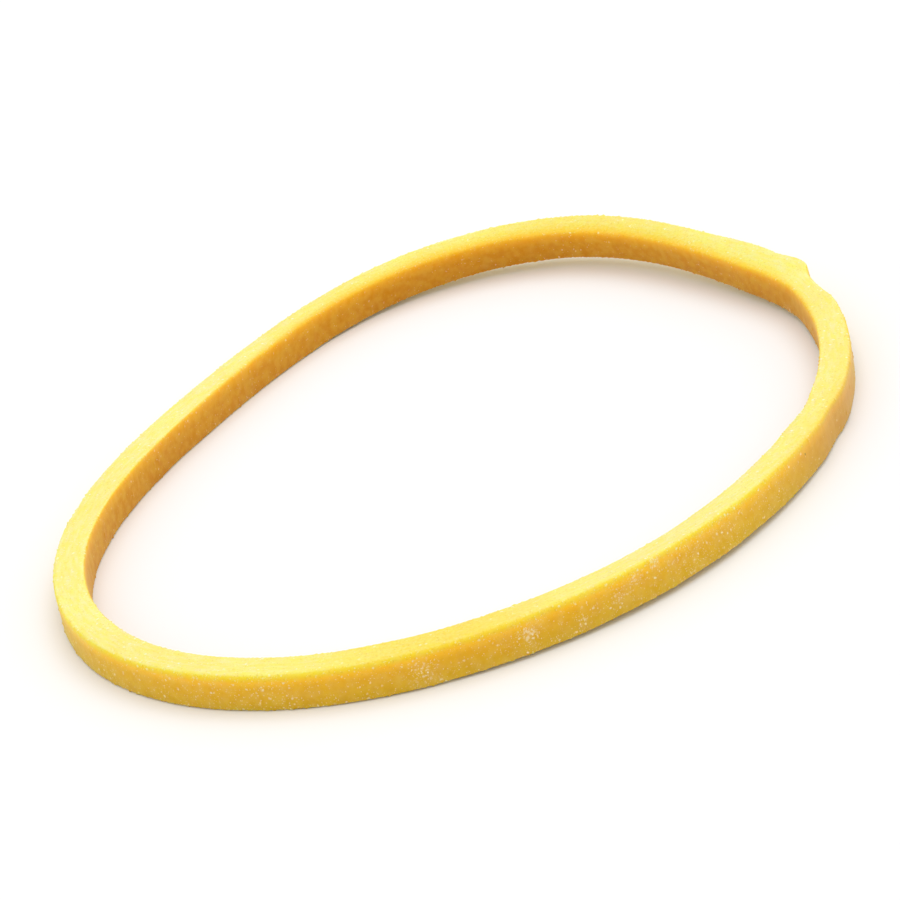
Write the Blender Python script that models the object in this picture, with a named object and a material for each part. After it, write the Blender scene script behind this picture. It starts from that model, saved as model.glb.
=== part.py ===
# A rubber band, lying relaxed on a flat surface, as one closed ring of rubber.
#
# Such a band is a slice across an extruded rubber tube. The tube's wall gives the thickness,
# and the two knife cuts give the width, so the section is close to a rectangle with crisp
# arrises. The band rests on one cut face. It doesn't lie quite flat: its far side rises a
# little and rolls inwards, and its near side rolls inwards on its inner arris. The tube's seam
# makes a stiff corner in it, with a lump, and straighter stretches on both sides.
#
# Metres, +Z up. The origin is on the surface, under the middle of the band's bounding box.
# Angles are in degrees, anticlockwise from +X as seen from above.

import math

import bmesh
import bpy
import numpy as np

# The band as it is measured and sold
FLAT_LENGTH = 0.060  # laid flat without stretching, end to end
WALL = 0.0015  # from the inner wall to the outer wall
CUT_WIDTH = 0.0018  # from one cut face to the other
ARRIS_RADIUS = 0.00012

# The outline that it relaxes into: a round loop, drawn out into an oval, an egg and flatter sides
OVAL, OVAL_AT = 0.00264, 53
EGG, EGG_AT = 0.00062, -27
FLAT_SIDES, FLAT_SIDES_AT = 0.00014, 9

# The two straighter stretches beside the seam, and how far each lies inside the round loop
FAR_STRAIGHT, FAR_STRAIGHT_AT, FAR_STRAIGHT_HALF_SPAN = 0.00063, 46, 25
NEAR_STRAIGHT, NEAR_STRAIGHT_AT, NEAR_STRAIGHT_HALF_SPAN = 0.00014, 2, 22

# Where it leaves the surface, and how far its section turns inwards there
FAR_AT, FAR_HALF_SPAN = 59, 65
FAR_RISE, FAR_ROLL = 0.00056, 17.5
NEAR_AT, NEAR_HALF_SPAN = 301, 60
NEAR_ROLL = 12

# The seam: a lump on the outer wall, and a thinner wall beside it
SEAM_AT = 28
SEAM_LUMP, SEAM_LUMP_LENGTH = 0.00035, 0.0031
SEAM_NECK, SEAM_NECK_LENGTH = 0.00022, 0.0044
SEAM_NECK_OFFSET = -0.0024  # along the band from the lump, to the neck's middle

# Where the tube's wall is uneven: thicker on the far side of the seam, and pinched at a kink
THICKER, THICKER_AT, THICKER_HALF_SPAN = 0.00032, 35, 12
PINCH, PINCH_AT, PINCH_HALF_SPAN = 0.00019, -19, 6.6

STATIONS = 320
ARRIS_FACETS = 2

RUBBER_COLOUR = (0.86, 0.53, 0.06, 1)
RUBBER_ROUGHNESS = 0.55


def swell(offset, half_span):
    """1 in the middle and 0 from half_span on, with no corner at either end."""
    nearness = np.clip(1 - np.abs(offset) / half_span, 0, 1)
    return nearness**2 * (3 - 2 * nearness)


def turned(angles, middle):
    """Each angle less middle, which is in degrees, from -pi to pi."""
    return (angles - math.radians(middle) + math.pi) % math.tau - math.pi


def stretch(angles, middle, half_span):
    """A swell round the loop, with its middle and half span in degrees."""
    return swell(turned(angles, middle), math.radians(half_span))


def outline(angles):
    """Points of the centre line as seen from above. The closed line is twice the flat length."""
    lobes = (
        OVAL * np.cos(2 * turned(angles, OVAL_AT))
        + EGG * np.cos(3 * turned(angles, EGG_AT))
        + FLAT_SIDES * np.cos(5 * turned(angles, FLAT_SIDES_AT))
        - FAR_STRAIGHT * stretch(angles, FAR_STRAIGHT_AT, FAR_STRAIGHT_HALF_SPAN)
        - NEAR_STRAIGHT * stretch(angles, NEAR_STRAIGHT_AT, NEAR_STRAIGHT_HALF_SPAN)
    )
    directions = np.column_stack([np.cos(angles), np.sin(angles)])
    mean_radius = FLAT_LENGTH / math.pi
    for _ in range(6):
        points = (mean_radius + lobes)[:, None] * directions
        mean_radius += (2 * FLAT_LENGTH - chords(points).sum()) / math.tau
    return points


def chords(points):
    """The distance from each point of a closed line to the next."""
    return np.linalg.norm(np.roll(points, -1, axis=0) - points, axis=1)


def outward(points):
    """Unit normals of a closed anticlockwise line, pointing away from its inside."""
    along = np.roll(points, -1, axis=0) - np.roll(points, 1, axis=0)
    normals = np.column_stack([along[:, 1], -along[:, 0]])
    return normals / np.linalg.norm(normals, axis=1)[:, None]


def distances_from(points, angles, place):
    """How far along the closed line each point lies from the one nearest to place, in degrees."""
    lengths = chords(points)
    travelled = np.concatenate([[0], np.cumsum(lengths)[:-1]])
    start = travelled[np.abs(turned(angles, place)).argmin()]
    round_trip = lengths.sum()
    return (travelled - start + round_trip / 2) % round_trip - round_trip / 2


def section():
    """The section's corner arcs, as (outwards, upwards) from its middle, anticlockwise."""
    radius = min(ARRIS_RADIUS, WALL / 3, CUT_WIDTH / 3)
    across, up = WALL / 2 - radius, CUT_WIDTH / 2 - radius
    points = []
    for quarter, (side, top) in enumerate([(1, 1), (-1, 1), (-1, -1), (1, -1)]):
        for facet in range(ARRIS_FACETS + 1):
            turn = math.pi / 2 * (quarter + facet / ARRIS_FACETS)
            points.append(
                (
                    side * across + radius * math.cos(turn),
                    top * up + radius * math.sin(turn),
                )
            )
    return np.array(points), radius


def band_points():
    """The band's surface, as one ring of section points for each station round the outline."""
    angles = np.arange(STATIONS) * math.tau / STATIONS
    centre = outline(angles)
    sideways = outward(centre)
    profile, radius = section()

    far = stretch(angles, FAR_AT, FAR_HALF_SPAN)
    near = stretch(angles, NEAR_AT, NEAR_HALF_SPAN)
    roll = np.radians(FAR_ROLL * far + NEAR_ROLL * near)
    # The height of the middle at which the rolled section's lowest arris is at the rise
    height = (
        FAR_RISE * far
        + (WALL / 2 - radius) * np.abs(np.sin(roll))
        + (CUT_WIDTH / 2 - radius) * np.cos(roll)
        + radius
    )

    from_seam = distances_from(centre, angles, SEAM_AT)
    lump = SEAM_LUMP * swell(from_seam, SEAM_LUMP_LENGTH / 2)
    neck = SEAM_NECK * swell(from_seam - SEAM_NECK_OFFSET, SEAM_NECK_LENGTH / 2)
    uneven = THICKER * stretch(
        angles, THICKER_AT, THICKER_HALF_SPAN
    ) - PINCH * stretch(angles, PINCH_AT, PINCH_HALF_SPAN)

    across = np.broadcast_to(profile[:, 0], (STATIONS, len(profile))).copy()
    across += np.sign(profile[:, 0]) * uneven[:, None] / 2
    across[:, profile[:, 0] > 0] += (lump - neck)[:, None]

    cosine, sine = np.cos(roll)[:, None], np.sin(roll)[:, None]
    outwards = across * cosine - profile[:, 1] * sine
    upwards = across * sine + profile[:, 1] * cosine + height[:, None]
    rings = np.concatenate(
        [
            centre[:, None] + sideways[:, None] * outwards[..., None],
            upwards[..., None],
        ],
        axis=2,
    )
    plan = rings[..., :2].reshape(-1, 2)
    rings[..., :2] -= (plan.min(axis=0) + plan.max(axis=0)) / 2
    return rings


def rubber():
    """Natural rubber, coloured yellow all through."""
    material = bpy.data.materials.new("rubber")
    material.use_nodes = True
    material.diffuse_color = RUBBER_COLOUR
    shader = material.node_tree.nodes["Principled BSDF"]
    shader.inputs["Base Color"].default_value = RUBBER_COLOUR
    shader.inputs["Roughness"].default_value = RUBBER_ROUGHNESS
    shader.inputs["Metallic"].default_value = 0
    return material


def rubber_band():
    """The ring, with each section joined to the next and the last to the first."""
    shape = bmesh.new()
    rings = [[shape.verts.new(point) for point in ring] for ring in band_points()]
    for ring, following in zip(rings, rings[1:] + rings[:1]):
        for i, vertex in enumerate(ring):
            shape.faces.new([vertex, ring[i - 1], following[i - 1], following[i]])
    bmesh.ops.recalc_face_normals(shape, faces=shape.faces)
    mesh = bpy.data.meshes.new("rubber_band")
    shape.to_mesh(mesh)
    shape.free()
    mesh.shade_smooth()
    mesh.set_sharp_from_angle(angle=math.radians(40))
    mesh.materials.append(rubber())
    band = bpy.data.objects.new("rubber_band", mesh)
    bpy.context.collection.objects.link(band)
    return band


for item in list(bpy.data.objects):
    bpy.data.objects.remove(item, do_unlink=True)

rubber_band()
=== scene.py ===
import math

import bpy
import numpy as np
from mathutils import Matrix, Vector


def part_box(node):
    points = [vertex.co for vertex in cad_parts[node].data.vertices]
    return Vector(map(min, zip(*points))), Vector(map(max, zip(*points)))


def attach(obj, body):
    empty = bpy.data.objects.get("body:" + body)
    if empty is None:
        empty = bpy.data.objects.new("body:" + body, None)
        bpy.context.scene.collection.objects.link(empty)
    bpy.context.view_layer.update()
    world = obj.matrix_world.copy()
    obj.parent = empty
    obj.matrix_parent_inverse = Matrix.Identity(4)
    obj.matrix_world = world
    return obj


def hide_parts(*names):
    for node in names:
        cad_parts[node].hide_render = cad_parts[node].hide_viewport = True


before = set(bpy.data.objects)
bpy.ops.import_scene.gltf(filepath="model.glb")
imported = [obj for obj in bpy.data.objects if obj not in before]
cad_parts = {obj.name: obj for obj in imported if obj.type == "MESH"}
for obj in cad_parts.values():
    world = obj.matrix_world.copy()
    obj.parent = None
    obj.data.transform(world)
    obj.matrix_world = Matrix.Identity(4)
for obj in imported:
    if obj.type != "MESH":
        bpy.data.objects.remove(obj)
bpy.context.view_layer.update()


# The band is one closed ring of soft rubber, coloured yellow all through. It was sliced off a long
# extruded tube, so its section is nearly a rectangle. Nothing holds it: it lies on one cut face as
# an uneven oval, with a stiff corner at the tube's seam and a kink where its wall is pinched.
FLAT_LENGTH = 0.060  # laid flat without stretching, end to end
WALL = 0.0015
CUT_WIDTH = 0.0018
ARRIS_RADIUS = 0.00012
WORN_RADIUS = 0.00020  # of the upper outer arris, which is rubbed rounder than the rest

# How the relaxed loop departs from a round one. Places on it are in degrees, as seen from above
OVAL, OVAL_AT = 0.00264, 53
EGG, EGG_AT = 0.00062, -27
FLAT_SIDES, FLAT_SIDES_AT = 0.00014, 9
FAR_STRAIGHT, FAR_STRAIGHT_AT, FAR_STRAIGHT_HALF_SPAN = 0.00063, 46, 25
NEAR_STRAIGHT, NEAR_STRAIGHT_AT, NEAR_STRAIGHT_HALF_SPAN = 0.00014, 2, 22

# Its far side rises and rolls inwards, and its near side rolls onto its inner arris
FAR_AT, FAR_HALF_SPAN = 59, 65
FAR_RISE, FAR_ROLL = 0.00056, 17.5
NEAR_AT, NEAR_HALF_SPAN = 301, 60
NEAR_ROLL = 12

# Rings of points round the loop, 0.08 mm apart, and the steps round each ring
RINGS = 1560
ARRIS_STEPS = 5
CUT_STEPS, INNER_STEPS, OUTER_STEPS = 10, 11, 13
LENGTH_ROUNDS = 6  # each brings the loop nearer to its right length


def swell(offset, half_span):
    """1 in the middle and 0 from half_span on, with no corner at either end."""
    nearness = np.clip(1 - np.abs(offset) / half_span, 0, 1)
    return nearness**2 * (3 - 2 * nearness)


def turned(angles, middle):
    """Each angle less middle, which is in degrees, from -pi to pi."""
    return (angles - math.radians(middle) + math.pi) % math.tau - math.pi


def stretch(angles, middle, half_span):
    """A swell round the loop, with its middle and half span in degrees."""
    return swell(turned(angles, middle), math.radians(half_span))


def chords(points):
    """The distance from each point of a closed line to the next."""
    return np.linalg.norm(np.roll(points, -1, axis=0) - points, axis=1)


def relaxed_loop(angles):
    """The loop's middle line as seen from above, twice as long as the flat length."""
    lobes = (
        OVAL * np.cos(2 * turned(angles, OVAL_AT))
        + EGG * np.cos(3 * turned(angles, EGG_AT))
        + FLAT_SIDES * np.cos(5 * turned(angles, FLAT_SIDES_AT))
        - FAR_STRAIGHT * stretch(angles, FAR_STRAIGHT_AT, FAR_STRAIGHT_HALF_SPAN)
        - NEAR_STRAIGHT * stretch(angles, NEAR_STRAIGHT_AT, NEAR_STRAIGHT_HALF_SPAN)
    )
    directions = np.column_stack([np.cos(angles), np.sin(angles)])
    mean_radius = FLAT_LENGTH / math.pi
    for _ in range(LENGTH_ROUNDS):
        line = (mean_radius + lobes)[:, None] * directions
        mean_radius += (2 * FLAT_LENGTH - chords(line).sum()) / math.tau
    return line


def cut_section():
    """One ring's points and normals, as (outwards, upwards), anticlockwise from the outer wall."""
    arcs = []
    arrises = [
        (1, 1, WORN_RADIUS),
        (-1, 1, ARRIS_RADIUS),
        (-1, -1, ARRIS_RADIUS),
        (1, -1, ARRIS_RADIUS),
    ]
    for quarter, (side, top, radius) in enumerate(arrises):
        turns = np.linspace(quarter, quarter + 1, ARRIS_STEPS + 1) * math.pi / 2
        normals = np.column_stack([np.cos(turns), np.sin(turns)])
        centre = (np.array([WALL, CUT_WIDTH]) / 2 - radius) * (side, top)
        arcs.append((centre + radius * normals, normals))
    flats = CUT_STEPS, INNER_STEPS, CUT_STEPS, OUTER_STEPS
    points, normals = [], []
    for arc, following, steps in zip(arcs, arcs[1:] + arcs[:1], flats):
        shares = np.arange(1, steps)[:, None] / steps
        points += [arc[0], arc[0][-1] + (following[0][0] - arc[0][-1]) * shares]
        normals += [arc[1], np.repeat(arc[1][-1:], steps - 1, axis=0)]
    return np.concatenate(points), np.concatenate(normals)


angles = np.arange(RINGS) * math.tau / RINGS
middle_line = relaxed_loop(angles)
heading = np.roll(middle_line, -1, axis=0) - np.roll(middle_line, 1, axis=0)
outwards = np.column_stack([heading[:, 1], -heading[:, 0]])
outwards /= np.linalg.norm(outwards, axis=1)[:, None]
travelled = np.cumsum(chords(middle_line))
section, section_normals = cut_section()
girth_steps = chords(section)
girth = np.cumsum(girth_steps)
RING_POINTS = len(section)

walls = section_normals[:, 0] ** 2  # 1 on the two walls, 0 on the two cut faces
cuts = section_normals[:, 1] ** 2
outer_side = section[:, 0] > 0
upper_side = section[:, 1] > 0


def distances_from(place):
    """How far along the loop each ring lies from the one at place, which is in degrees."""
    round_trip = travelled[-1]
    start = travelled[np.abs(turned(angles, place)).argmin()]
    return (travelled - start + round_trip / 2) % round_trip - round_trip / 2


# The die and the seam shape the walls from one cut face to the other: a lump with a sharp lip on
# the outer wall, a thinner neck beside it, a thicker stretch, and a pinch that makes the kink.
SEAM_AT = 28
SEAM_LUMP, SEAM_LUMP_LENGTH = 0.00035, 0.0031
SEAM_LIP, SEAM_LIP_LENGTH, SEAM_LIP_OFFSET = 0.00007, 0.0010, -0.00055
SEAM_NECK, SEAM_NECK_LENGTH, SEAM_NECK_OFFSET = 0.00022, 0.0044, -0.0024
THICKER, THICKER_AT, THICKER_HALF_SPAN = 0.00032, 35, 12
PINCH, PINCH_AT, PINCH_HALF_SPAN = 0.00019, -19, 6.6

# Waves and ripples that the die leaves on the walls and the knife on the cut faces, each with its
# height and its shortest and longest length. The arrises are frayed all along, and bitten in places.
DIE_WAVES, DIE_WAVE_LENGTHS = 0.000022, (0.003, 0.012)
DIE_RIPPLES, DIE_RIPPLE_LENGTHS = 0.000007, (0.0006, 0.003)
KNIFE_WAVES, KNIFE_WAVE_LENGTHS = 0.000020, (0.004, 0.015)
KNIFE_RIPPLES, KNIFE_RIPPLE_LENGTHS = 0.000006, (0.0005, 0.002)
GRAIN, GRAIN_SIZE = 0.000006, 0.0007
FRAY, FRAY_LENGTHS = 0.000040, (0.00015, 0.0005)
BITE, BITE_LENGTHS, BITTEN_STRETCHES = 0.000075, (0.00018, 0.0008), (0.002, 0.010)
NOTCH, NOTCH_AT, NOTCH_LENGTH = 0.00014, -13, 0.0012
GRAZED_AT, GRAZED_HALF_SPAN = -22, 22  # the stretch where the lower outer arris is bitten most
LEAST_BITTEN = 0.25  # the share of a bite that is left between the bitten stretches
WAVE_HEIGHTS = (0.3, 1)  # of the waves that make up a random line, against each other
PATCH_WAVES = 120  # that make up the random patches


def wander(lengths, seed):
    """A random line round the loop, from -1 to 1, made of waves between those two lengths."""
    shortest, longest = lengths
    chance = np.random.default_rng(seed)
    waves = np.arange(int(travelled[-1] / longest), int(travelled[-1] / shortest) + 1)
    phases = chance.uniform(0, math.tau, len(waves))
    line = np.cos(angles[:, None] * waves + phases) @ chance.uniform(*WAVE_HEIGHTS, len(waves))
    return line / np.abs(line).max()


def patches(size, seed):
    """Random patches of about that size all over the surface, from -1 to 1."""
    chance = np.random.default_rng(seed)
    turn = girth / girth[-1] * math.tau
    field = np.zeros((RINGS, RING_POINTS))
    for _ in range(PATCH_WAVES):
        lengthwise = round(chance.normal() * travelled[-1] / size / 2)
        crosswise = round(chance.normal() * girth[-1] / size / 2)
        field += np.cos(angles[:, None] * lengthwise + turn * crosswise + chance.uniform(0, math.tau))
    return field / np.abs(field).max()


def bites(seed):
    """Bites out of an arris, from 0 to 1: nothing for a while, then a short ragged stretch."""
    raggedness = np.clip(wander(BITE_LENGTHS, seed), 0, 1)
    bitten = np.clip(2 * wander(BITTEN_STRETCHES, seed + 1), 0, 1)
    return raggedness * (LEAST_BITTEN + (1 - LEAST_BITTEN) * bitten)


from_seam = distances_from(SEAM_AT)
thicker = THICKER * stretch(angles, THICKER_AT, THICKER_HALF_SPAN)
thicker -= PINCH * stretch(angles, PINCH_AT, PINCH_HALF_SPAN)
outer_growth = (
    thicker / 2
    + SEAM_LUMP * swell(from_seam, SEAM_LUMP_LENGTH / 2)
    + SEAM_LIP * swell(from_seam - SEAM_LIP_OFFSET, SEAM_LIP_LENGTH / 2)
    - SEAM_NECK * swell(from_seam - SEAM_NECK_OFFSET, SEAM_NECK_LENGTH / 2)
)
inner_growth = thicker / 2
from_inner_wall = np.clip(section[:, 0] / (WALL - 2 * ARRIS_RADIUS) + 0.5, 0, 1)
widening = outer_growth[:, None] * from_inner_wall - inner_growth[:, None] * (1 - from_inner_wall)

relief = GRAIN * patches(GRAIN_SIZE, seed=50)
for on_side, seed in ((outer_side, 10), (~outer_side, 20)):
    die_marks = DIE_WAVES * wander(DIE_WAVE_LENGTHS, seed)
    die_marks += DIE_RIPPLES * wander(DIE_RIPPLE_LENGTHS, seed + 1)
    relief += die_marks[:, None] * walls * on_side
for on_side, seed in ((upper_side, 30), (~upper_side, 40)):
    knife_marks = KNIFE_WAVES * wander(KNIFE_WAVE_LENGTHS, seed)
    knife_marks += KNIFE_RIPPLES * wander(KNIFE_RIPPLE_LENGTHS, seed + 1)
    relief += knife_marks[:, None] * cuts * on_side
on_arris = 4 * walls * cuts  # 1 halfway round each arris, 0 on the flat faces
for outer, upper, seed in ((True, True, 60), (False, True, 70), (True, False, 80), (False, False, 90)):
    wear = FRAY * wander(FRAY_LENGTHS, seed) - BITE * bites(seed + 1)
    if outer and not upper:
        wear -= BITE * bites(seed + 3) * stretch(angles, GRAZED_AT, GRAZED_HALF_SPAN)
        wear -= NOTCH * swell(distances_from(NOTCH_AT), NOTCH_LENGTH / 2)
    relief += wear[:, None] * on_arris * (outer_side == outer) * (upper_side == upper)

# Talc keeps fresh rubber from sticking together. It clings to the walls and along the arrises in
# grains and thin flakes. A few smudges were pressed on, and the right bend is cleaner.
TALC_ON_CUTS, TALC_ON_INNER_WALL, TALC_ON_OUTER_WALL = 0.24, 0.12, 0.50
TALC_ON_ARRISES, ARRIS_TALC_REACH, ARRIS_TALC_STRETCHES = 0.38, 0.00022, (0.002, 0.02)
CLEANER, CLEANER_AT, CLEANER_HALF_SPAN = 0.28, -20, 32
PATCH_SIZE, PATCH_MEAN, PATCH_SWING = 0.004, 0.75, 0.5
TALC_IN_SMUDGES = 0.6
SMUDGES = [  # place, wall (1 outer, -1 inner), height above the middle of the wall, size
    (-101, 1, -0.0001, 0.00060),
    (-88, 1, 0.0001, 0.00050),
    (-80.6, 1, -0.0003, 0.00022),
    (-74.4, 1, 0.0001, 0.00042),
    (-71.5, 1, 0.0003, 0.00034),
    (-68, 1, 0.0006, 0.00030),
    (-8, 1, 0.0008, 0.00015),
    (25, -1, -0.0007, 0.00030),
]

# Some of the talc has caked into crumbs, most of them on the arrises. Each is a low round lump
CRUMBS = 800
CRUMB_RADIUS, RADIUS_SHARES = 0.00006, (0.6, 1.2)
CRUMB_HEIGHT, HEIGHT_SHARES = 0.000060, (0.4, 1)
CRUMBS_ON_FACES, CRUMBS_ON_ARRISES = 0.3, 2.5
CRUMB_RINGS, CRUMB_POINTS = 3, 6  # as far as a crumb reaches each way

outer_wall = walls * outer_side
inner_wall = walls * ~outer_side
arris_places = [[side * WALL / 2, top * CUT_WIDTH / 2] for side in (1, -1) for top in (1, -1)]
to_arrises = np.linalg.norm(section[:, None] - np.array(arris_places), axis=2)
to_upper_outer, to_upper_inner = to_arrises[:, 0], to_arrises[:, 2]
near_arris = np.exp(-to_arrises.min(axis=1) / ARRIS_TALC_REACH)

talc = TALC_ON_CUTS * cuts + TALC_ON_INNER_WALL * inner_wall + TALC_ON_OUTER_WALL * outer_wall
arris_stretches = np.clip(0.5 + wander(ARRIS_TALC_STRETCHES, seed=100), 0, 1)
talc = talc + TALC_ON_ARRISES * near_arris * arris_stretches[:, None]
talc *= PATCH_MEAN + PATCH_SWING * patches(PATCH_SIZE, seed=101)
talc -= CLEANER * outer_wall * stretch(angles, CLEANER_AT, CLEANER_HALF_SPAN)[:, None]
for at, side, above_middle, size in SMUDGES:
    away = (distances_from(at)[:, None] ** 2 + (section[:, 1] - above_middle) ** 2) / size**2
    talc += TALC_IN_SMUDGES * np.exp(-away) * walls * (outer_side == (side > 0))
talc = np.clip(talc, 0, 1)

chance = np.random.default_rng(seed=7)
crumb = np.zeros((RINGS, RING_POINTS))
likely = ((CRUMBS_ON_FACES + CRUMBS_ON_ARRISES * on_arris) * talc * girth_steps).ravel()
ring_steps = np.arange(-CRUMB_RINGS, CRUMB_RINGS + 1)
point_steps = np.arange(-CRUMB_POINTS, CRUMB_POINTS + 1)
lengthwise = ring_steps * travelled[-1] / RINGS
for pick in chance.choice(likely.size, CRUMBS, p=likely / likely.sum()):
    ring, point = divmod(pick, RING_POINTS)
    points_near = (point + point_steps) % RING_POINTS
    there = np.ix_((ring + ring_steps) % RINGS, points_near)
    crosswise = (girth[points_near] - girth[point] + girth[-1] / 2) % girth[-1] - girth[-1] / 2
    radius = CRUMB_RADIUS * chance.uniform(*RADIUS_SHARES)
    lump = np.exp(-(lengthwise[:, None] ** 2 + crosswise**2) / radius**2)
    crumb[there] = np.maximum(crumb[there], lump * chance.uniform(*HEIGHT_SHARES))
relief += CRUMB_HEIGHT * crumb

across = section[:, 0] + widening + relief * section_normals[:, 0]
up = section[:, 1] + relief * section_normals[:, 1]
far = stretch(angles, FAR_AT, FAR_HALF_SPAN)
near = stretch(angles, NEAR_AT, NEAR_HALF_SPAN)
roll = np.radians(FAR_ROLL * far + NEAR_ROLL * near)[:, None]
lift = (
    FAR_RISE * far[:, None]
    + (WALL / 2 - ARRIS_RADIUS) * np.abs(np.sin(roll))
    + (CUT_WIDTH / 2 - ARRIS_RADIUS) * np.cos(roll)
    + ARRIS_RADIUS
)
from_middle = across * np.cos(roll) - up * np.sin(roll)
heights = np.maximum(across * np.sin(roll) + up * np.cos(roll) + lift, 0)
plan = middle_line[:, None] + outwards[:, None] * from_middle[..., None]
cad_low, cad_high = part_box("rubber_band")
cad_middle = np.array((cad_low + cad_high).xy) / 2
plan -= (plan.min(axis=(0, 1)) + plan.max(axis=(0, 1))) / 2 - cad_middle
points = np.concatenate([plan, heights[..., None]], axis=2).reshape(-1, 3)

# The upper cut is painted lemon, a highlight from the light above that runs a little way round
# the arrises. That painted highlight is weaker on a stretch in front, which is more golden, and
# gives way to golden along the bend's outer arris, as painted shade, and along the far side's
# inner arris. The lower cut gets a little of it and is nearly as golden as the walls. The bend's
# outer wall is tinted a duller tan, partly talc dust and partly a painted grazing sheen.
LEMON_HIGHLIGHT_FADE = 0.58  # how far round the arrises the lemon goes, as 1 less the normal's height
LOWER_LEMON_HIGHLIGHT = 0.3
FAR_RIM, FAR_RIM_REACH, FAR_RIM_AT, FAR_RIM_HALF_SPAN = 1.05, 0.00082, 75, 88
LEAST_REACH = 0.01  # the share of that reach which is left where the rim ends
BEND_RIM_SHADE, BEND_RIM_REACH, BEND_RIM_AT, BEND_RIM_HALF_SPAN = 0.60, 0.0006, -20, 38
WARM_WEAKER_HIGHLIGHT, WARM_AT, WARM_HALF_SPAN = 0.54, -98, 33
TAN, TAN_AT, TAN_HALF_SPAN = 0.28, -5, 34
BEND_TAN = 0.25
KNIFE_STREAK = 5  # the knife's faint streaks are that many times as long as wide

numbers = np.arange(RINGS * RING_POINTS).reshape(RINGS, RING_POINTS)
next_ring = np.roll(numbers, -1, axis=0)
face_corners = [numbers, next_ring, np.roll(next_ring, -1, axis=1), np.roll(numbers, -1, axis=1)]
faces = np.stack(face_corners, axis=2).reshape(-1, 4)
band_mesh = bpy.data.meshes.new("band")
band_mesh.from_pydata(points, [], faces.tolist())
band_mesh.shade_smooth()

# The rims and the warm stretch take the painted highlight away; the bend's rim stands for painted
# shade round its outer arris
far_rim_share = np.maximum(stretch(angles, FAR_RIM_AT, FAR_RIM_HALF_SPAN), LEAST_REACH)
rims = FAR_RIM * np.exp(-to_upper_inner / (FAR_RIM_REACH * far_rim_share)[:, None])
bend_rim_shade = BEND_RIM_SHADE * stretch(angles, BEND_RIM_AT, BEND_RIM_HALF_SPAN)
rims += bend_rim_shade[:, None] * np.exp(-to_upper_outer / BEND_RIM_REACH)
rims *= cuts * upper_side
warm_weaker_highlight = WARM_WEAKER_HIGHLIGHT * stretch(angles, WARM_AT, WARM_HALF_SPAN)[:, None] * cuts * upper_side
upper_lemon_highlight = swell(1 - section_normals[:, 1], LEMON_HIGHLIGHT_FADE) * (1 - np.clip(rims + warm_weaker_highlight, 0, 1))
lower_lemon_highlight = LOWER_LEMON_HIGHLIGHT * swell(1 + section_normals[:, 1], LEMON_HIGHLIGHT_FADE)
# A duller tan on the bend's outer wall, partly talc dust and partly a painted grazing sheen
tan_dust_and_sheen = TAN * stretch(angles, TAN_AT, TAN_HALF_SPAN)
tan_dust_and_sheen += BEND_TAN * stretch(angles, CLEANER_AT, CLEANER_HALF_SPAN)
surface = {  # what the material reads at each point
    "height": section[:, 1] / CUT_WIDTH + 0.5,
    "lemon_highlight": upper_lemon_highlight + lower_lemon_highlight,
    "deep_and_shaded": inner_wall + rims + warm_weaker_highlight,
    "tan_dust_and_sheen": tan_dust_and_sheen[:, None] * outer_wall,
    "talc": talc,
    "crumb": crumb,
}
for name, values in surface.items():
    attribute = band_mesh.attributes.new(name, "FLOAT", "POINT")
    values = np.broadcast_to(values, (RINGS, RING_POINTS)).astype(np.float32)
    attribute.data.foreach_set("value", values.ravel())
drawn_out = np.concatenate([
    middle_line[:, None] / KNIFE_STREAK + outwards[:, None] * section[:, :1],
    np.broadcast_to(section[:, 1:], (RINGS, RING_POINTS, 1)),
], axis=2)
attribute = band_mesh.attributes.new("drawn_out", "FLOAT_VECTOR", "POINT")
attribute.data.foreach_set("vector", drawn_out.astype(np.float32).ravel())
band = bpy.data.objects.new("band", band_mesh)
bpy.context.collection.objects.link(band)

# Colours of the rubber, some with painted light and shade, and of what lies on it, each with
# the share that it covers at most
# The cut's lemon is a painted highlight from the light above
CUT_LEMON_HIGHLIGHTS = (1.0, 0.84, 0.18, 1), (1.0, 0.86, 0.36, 1)
# The walls are painted lighter towards their upper arris, as if lit from above and glowing through
# there, and darker towards their lower arris, as painted shade. The inner wall is painted darker and
# more orange all over, as shade.
OUTER_YELLOWS_PAINTED_LIGHT = [  # up the outer wall, from its lower arris at 0 to its upper arris at 1
    (0.0, (0.61, 0.39, 0.008, 1)),
    (0.62, (0.82, 0.44, 0.010, 1)),
    (0.78, (1.0, 0.55, 0.012, 1)),
    (0.90, (1.0, 0.69, 0.022, 1)),
    (1.0, (1.0, 0.84, 0.065, 1)),
]
INNER_YELLOWS_PAINTED_SHADE = [
    (0.0, (0.55, 0.22, 0.006, 1)),
    (0.6, (0.66, 0.27, 0.001, 1)),
    (0.8, (0.80, 0.35, 0.002, 1)),
    (0.9, (0.89, 0.44, 0.006, 1)),
    (1.0, (1.0, 0.56, 0.024, 1)),
]
CLOUD_GOLD, CLOUD_SHARE = (0.80, 0.42, 0.02, 1), 0.10
MOTTLE_YELLOW, MOTTLE_SHARE, MOTTLE_SHARE_ON_HIGHLIGHT = (1.0, 0.80, 0.12, 1), 0.15, 0.10
PIT_BROWN, PIT_SHARE = (0.72, 0.36, 0.01, 1), 0.35
# The bend's tan, partly the talc dust's colour and partly a painted grazing sheen
TAN_DUST_AND_SHEEN = (0.52, 0.21, 0.103, 1)
TALC_FILM, FILM_IN_STREAKS, FILM_IN_BLOTCHES = (0.88, 0.68, 0.34, 1), 0.06, 0.19
TALC_WHITE = (1.0, 0.93, 0.68, 1)
TALC_COVER, COVER_BY_TALC, COVER_BY_HIGHLIGHT = 0.30, 0.8, 0.60
DIRT_BROWN, DIRT_COVER = (0.20, 0.12, 0.03, 1), 0.8

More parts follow.
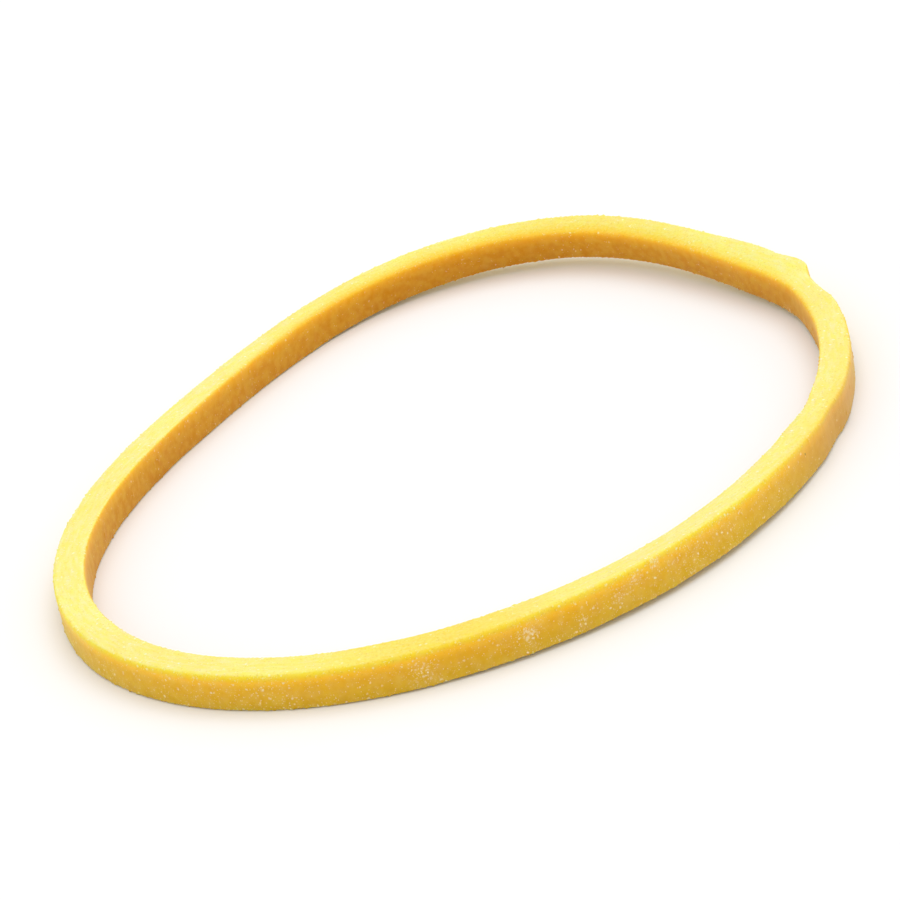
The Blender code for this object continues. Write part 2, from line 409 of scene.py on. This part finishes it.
# Patterns: the size, how many finer layers it has, and the values that count as none and as full
KNIFE_STREAKS = 0.00018, 3, 0.3, 0.7
DIE_STREAKS = 0.0003, 3, 0.3, 0.7
CLOUDS = 0.006, 4, 0.35, 0.65
MOTTLE = 0.0004, 4, 0.3, 0.7
BLOTCHES = 0.0005, 4, 0.4, 0.65
PITS = 0.00009, 2, 0.55, 0.75
DIE_STRETCH = (1, 1, 0.15)  # die streaks are drawn out along the tube, which stands upright here

# The painted lemon highlight ends in a ragged edge
EDGE_PATTERN, EDGE_RAGGEDNESS = (0.00015, 4), 0.9
LEMON_HIGHLIGHT_RANGE = (0.1, 1.1)

# Grains: how far apart their places are and the largest radius, then how many and how opaque
FINE_GRAINS, FINE_AMOUNT, FINE_COVER = (0.00009, 0.00004), 1.4, 0.75
COARSE_GRAINS = (0.00024, 0.000085)
DIRT_GRAINS, DIRT_AMOUNT = (0.0015, 0.00007), 0.12
FAINT_FROM, SMALL_FROM = -0.4, -0.6  # below 0, so that the faintest and smallest still show
GRAIN_CORE = 0.4  # the opaque part of a grain's radius
WOBBLES_PER_METRE, WOBBLE_LAYERS = 9000.0, 3.0  # the wobble makes the grains irregular
WOBBLE = (0.00014, 0.00014, 0.00014)

# Thin flakes, of which more lie where there is more talc, and the white of the crumbs
FLAKE_PATTERN, FLAKES_BY_TALC = (0.00015, 5), 0.30
FLAKE_RANGE, FLAKE_COVER = (0.76, 0.90), 0.45
CRUMB_RANGE, CRUMB_COVER = (0.3, 0.9), 0.7

# The finish is satin and slightly translucent, rougher where talc lies
ROUGHNESS, DUST_ROUGHNESS = 0.45, 0.25
SPECULAR_LEVEL = 0.15
GLOW_DEPTH = 0.00025
GLOW_RADIUS = (1.0, 0.6, 0.2)  # how far red, green and blue light go inside, against that depth
BUMP_STRENGTH, BUMP_HEIGHT = 0.5, 0.00002
BUMP_PATTERN = (0.00012, 4)
PATTERN_BUMP, STREAK_BUMP, SPECK_BUMP, PIT_BUMP = 0.5, 0.3, 0.4, 0.4  # against each other

rubber = bpy.data.materials.new("yellow_rubber")
rubber.use_nodes = True
tree = rubber.node_tree
shader = tree.nodes["Principled BSDF"]


def node(kind, sockets, **settings):
    """A new node of that kind. Each socket named gets a plain value, or a link from another node."""
    made = tree.nodes.new("ShaderNode" + kind)
    for name, value in settings.items():
        setattr(made, name, value)
    for socket, value in sockets.items():
        if isinstance(value, bpy.types.NodeSocket):
            tree.links.new(value, made.inputs[socket])
        else:
            made.inputs[socket].default_value = value
    return made.outputs


def maths(operation, first, second):
    return node("Math", {0: first, 1: second}, operation=operation)[0]


def times(first, second):
    return maths("MULTIPLY", first, second)


def plus(first, second):
    return maths("ADD", first, second)


def slope(value, low, high):
    """0 where value is at low, 1 where it is at high, and smooth between."""
    sockets = {"Value": value, "From Min": low, "From Max": high}
    return node("MapRange", sockets, interpolation_type="SMOOTHSTEP")["Result"]


def blend(share, under, over):
    """The colour under, covered by the colour over to that share."""
    return node("Mix", {0: share, 6: under, 7: over}, data_type="RGBA")[2]


def on_surface(name):
    """A value that was stored on the mesh above."""
    return node("Attribute", {}, attribute_name=name)["Fac"]


def noise(place, size, detail):
    return node("TexNoise", {"Vector": place, "Scale": 1 / size, "Detail": detail})["Fac"]


def pattern(place, size, detail, none, full):
    """Random patches of that size, from 0 to 1."""
    return slope(noise(place, size, detail), none, full)


def ramp(value, stops):
    """The colours of the stops, blended by value."""
    made = tree.nodes.new("ShaderNodeValToRGB")
    for place, colour in stops[1:-1]:
        made.color_ramp.elements.new(place).color = colour
    for element, (place, colour) in zip(made.color_ramp.elements, stops):
        element.position = place
        element.color = colour
    tree.links.new(value, made.inputs["Fac"])
    return made.outputs["Color"]


def grains(place, spacing, radius, amount):
    """Specks of up to that radius, bright and faint, in as large a share of their places as amount."""
    cells = node("TexVoronoi", {"Vector": place, "Scale": 1 / spacing})
    chance = node("SeparateColor", {"Color": cells["Color"]})
    kept = maths("LESS_THAN", chance["Red"], amount)
    strength = times(kept, slope(chance["Green"], FAINT_FROM, 1.0))
    reach = maths("DIVIDE", cells["Distance"], slope(chance["Blue"], SMALL_FROM, 1.0))
    return times(slope(reach, radius / spacing, GRAIN_CORE * radius / spacing), strength)


place = node("TexCoord", {})["Object"]
die_place = node("Mapping", {"Vector": place, "Scale": DIE_STRETCH})["Vector"]
knife_place = node("Attribute", {}, attribute_name="drawn_out")["Vector"]
wobble_sockets = {"Vector": place, "Scale": WOBBLES_PER_METRE, "Detail": WOBBLE_LAYERS}
wobble = node("TexNoise", wobble_sockets)["Color"]
speck_place = node("VectorMath", {0: wobble, 1: WOBBLE, 2: place}, operation="MULTIPLY_ADD")[0]
height = on_surface("height")
talc_share = on_surface("talc")

# The rubber: golden walls with painted light and shade, the cut's painted lemon highlight,
# and its mottling and pits
ragged = times(maths("SUBTRACT", noise(place, *EDGE_PATTERN), 0.5), EDGE_RAGGEDNESS)
# How much of the cut shows the painted lemon highlight
lemon_highlight_share = slope(plus(on_surface("lemon_highlight"), ragged), *LEMON_HIGHLIGHT_RANGE)
lemon_highlight = blend(pattern(knife_place, *KNIFE_STREAKS), *CUT_LEMON_HIGHLIGHTS)
# The walls' colour, with painted light up the outer wall and painted shade on the inner wall
golden = blend(on_surface("deep_and_shaded"), ramp(height, OUTER_YELLOWS_PAINTED_LIGHT), ramp(height, INNER_YELLOWS_PAINTED_SHADE))
colour = blend(lemon_highlight_share, golden, lemon_highlight)
colour = blend(times(pattern(place, *CLOUDS), CLOUD_SHARE), colour, CLOUD_GOLD)
mottle_share = plus(times(lemon_highlight_share, MOTTLE_SHARE_ON_HIGHLIGHT), MOTTLE_SHARE)
colour = blend(times(pattern(place, *MOTTLE), mottle_share), colour, MOTTLE_YELLOW)
pits = pattern(place, *PITS)
colour = blend(times(pits, PIT_SHARE), colour, PIT_BROWN)
# The bend's tan, partly talc dust and partly a painted grazing sheen
colour = blend(on_surface("tan_dust_and_sheen"), colour, TAN_DUST_AND_SHEEN)

# The talc on it, as a film, flakes, grains and crumbs, and a little dirt
die_streaks = pattern(die_place, *DIE_STREAKS)
blotches = pattern(place, *BLOTCHES)
film = plus(times(die_streaks, FILM_IN_STREAKS), times(blotches, FILM_IN_BLOTCHES))
film = times(talc_share, film)
colour = blend(film, colour, TALC_FILM)
flaky = plus(noise(speck_place, *FLAKE_PATTERN), times(talc_share, FLAKES_BY_TALC))
flakes = times(slope(flaky, *FLAKE_RANGE), FLAKE_COVER)
fine = times(grains(speck_place, *FINE_GRAINS, times(talc_share, FINE_AMOUNT)), FINE_COVER)
crumbs = times(slope(on_surface("crumb"), *CRUMB_RANGE), CRUMB_COVER)
specks = grains(speck_place, *COARSE_GRAINS, talc_share)
for kind in (fine, crumbs, flakes):
    specks = maths("MAXIMUM", specks, kind)
cover = plus(times(talc_share, COVER_BY_TALC), plus(times(lemon_highlight_share, COVER_BY_HIGHLIGHT), TALC_COVER))
colour = blend(times(specks, cover), colour, TALC_WHITE)
dirt = grains(speck_place, *DIRT_GRAINS, DIRT_AMOUNT)
colour = blend(times(dirt, DIRT_COVER), colour, DIRT_BROWN)
tree.links.new(colour, shader.inputs["Base Color"])

roughness = plus(times(plus(film, specks), DUST_ROUGHNESS), ROUGHNESS)
tree.links.new(roughness, shader.inputs["Roughness"])
bumps = plus(times(noise(place, *BUMP_PATTERN), PATTERN_BUMP), times(die_streaks, STREAK_BUMP))
bumps = plus(bumps, maths("SUBTRACT", times(specks, SPECK_BUMP), times(pits, PIT_BUMP)))
bump_sockets = {"Height": bumps, "Strength": BUMP_STRENGTH, "Distance": BUMP_HEIGHT}
tree.links.new(node("Bump", bump_sockets)["Normal"], shader.inputs["Normal"])
shader.inputs["Specular IOR Level"].default_value = SPECULAR_LEVEL
shader.inputs["Subsurface Weight"].default_value = 1.0
shader.inputs["Subsurface Radius"].default_value = GLOW_RADIUS
shader.inputs["Subsurface Scale"].default_value = GLOW_DEPTH
band_mesh.materials.append(rubber)

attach(band, "root")
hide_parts("rubber_band")


# The floor is a sheet of matt white paper, much larger than the band, that runs on out of view.
# It lies loose and flat just under the band, which rests on it by its own weight.
FLOOR_SIDE = 2.0
FLOOR_DROP = 0.00001  # below the band's lowest points, so that no two faces coincide
PAPER_WHITE, PAPER_ROUGHNESS = (0.95, 0.95, 0.95, 1), 0.9

half = FLOOR_SIDE / 2
floor_corners = (-half, -half), (half, -half), (half, half), (-half, half)
floor_mesh = bpy.data.meshes.new("floor")
floor_mesh.from_pydata([(x, y, -FLOOR_DROP) for x, y in floor_corners], [], [(0, 1, 2, 3)])
floor = bpy.data.objects.new("floor", floor_mesh)
bpy.context.collection.objects.link(floor)
paper = bpy.data.materials.new("white_paper")
paper.use_nodes = True
paper_shader = paper.node_tree.nodes["Principled BSDF"]
paper_shader.inputs["Base Color"].default_value = PAPER_WHITE
paper_shader.inputs["Roughness"].default_value = PAPER_ROUGHNESS
floor_mesh.materials.append(paper)


# The light comes from a white room that glows evenly, and from one wide soft lamp high above the
# band. Seen directly or mirrored, the room is plain white, so that the paper runs into it.
SKY_STRENGTH = 0.80
LAMP_STRENGTH, LAMP_WIDTH = 0.95, 60
LAMP_FROM = Vector((0.15, 0.15, 1))

lamp = bpy.data.lights.new("soft_lamp", "SUN")
lamp.energy = LAMP_STRENGTH
lamp.angle = math.radians(LAMP_WIDTH)
lamp_stand = bpy.data.objects.new("soft_lamp", lamp)
lamp_stand.rotation_euler = LAMP_FROM.to_track_quat("Z", "Y").to_euler()
bpy.context.collection.objects.link(lamp_stand)

room = bpy.data.worlds.new("white_room")
room.use_nodes = True
bpy.context.scene.world = room
tree = room.node_tree
rays = node("LightPath", {})
mirrored = maths("MAXIMUM", rays["Is Glossy Ray"], rays["Is Transmission Ray"])
seen = maths("MAXIMUM", rays["Is Camera Ray"], mirrored)
strength = node("MapRange", {"Value": seen, "To Min": SKY_STRENGTH, "To Max": 1.0})["Result"]
background = tree.nodes["Background"]
background.inputs["Color"].default_value = (1, 1, 1, 1)
tree.links.new(strength, background.inputs["Strength"])


# The camera stands 15 cm from the band and looks down at it as the photograph does, at 27 degrees.
# It is tilted a little, because the band lay askew there and lies flat here.
CAMERA_PITCH, CAMERA_TILT = 26.94, -11.48
CAMERA_DISTANCE = 0.150
CAMERA_LENS = 126.4
CAMERA_CLIP_START = 0.001
CAMERA_TARGET = Vector((-0.000561, -0.001256, 0.0009))

pitch, tilt = math.radians(CAMERA_PITCH), math.radians(CAMERA_TILT)
forward = Vector((0, math.cos(pitch), -math.sin(pitch)))
level, upright = Vector((1, 0, 0)), Vector((0, math.sin(pitch), math.cos(pitch)))
rightward = level * math.cos(tilt) + upright * math.sin(tilt)
upward = upright * math.cos(tilt) - level * math.sin(tilt)
view = bpy.data.cameras.new("camera")
view.lens = CAMERA_LENS
view.clip_start = CAMERA_CLIP_START
camera = bpy.data.objects.new("camera", view)
turning = Matrix((rightward, upward, -forward)).transposed().to_4x4()
camera.matrix_world = Matrix.Translation(CAMERA_TARGET - forward * CAMERA_DISTANCE) @ turning
bpy.context.collection.objects.link(camera)
bpy.context.scene.camera = camera
bpy.context.scene.view_settings.view_transform = "Standard"
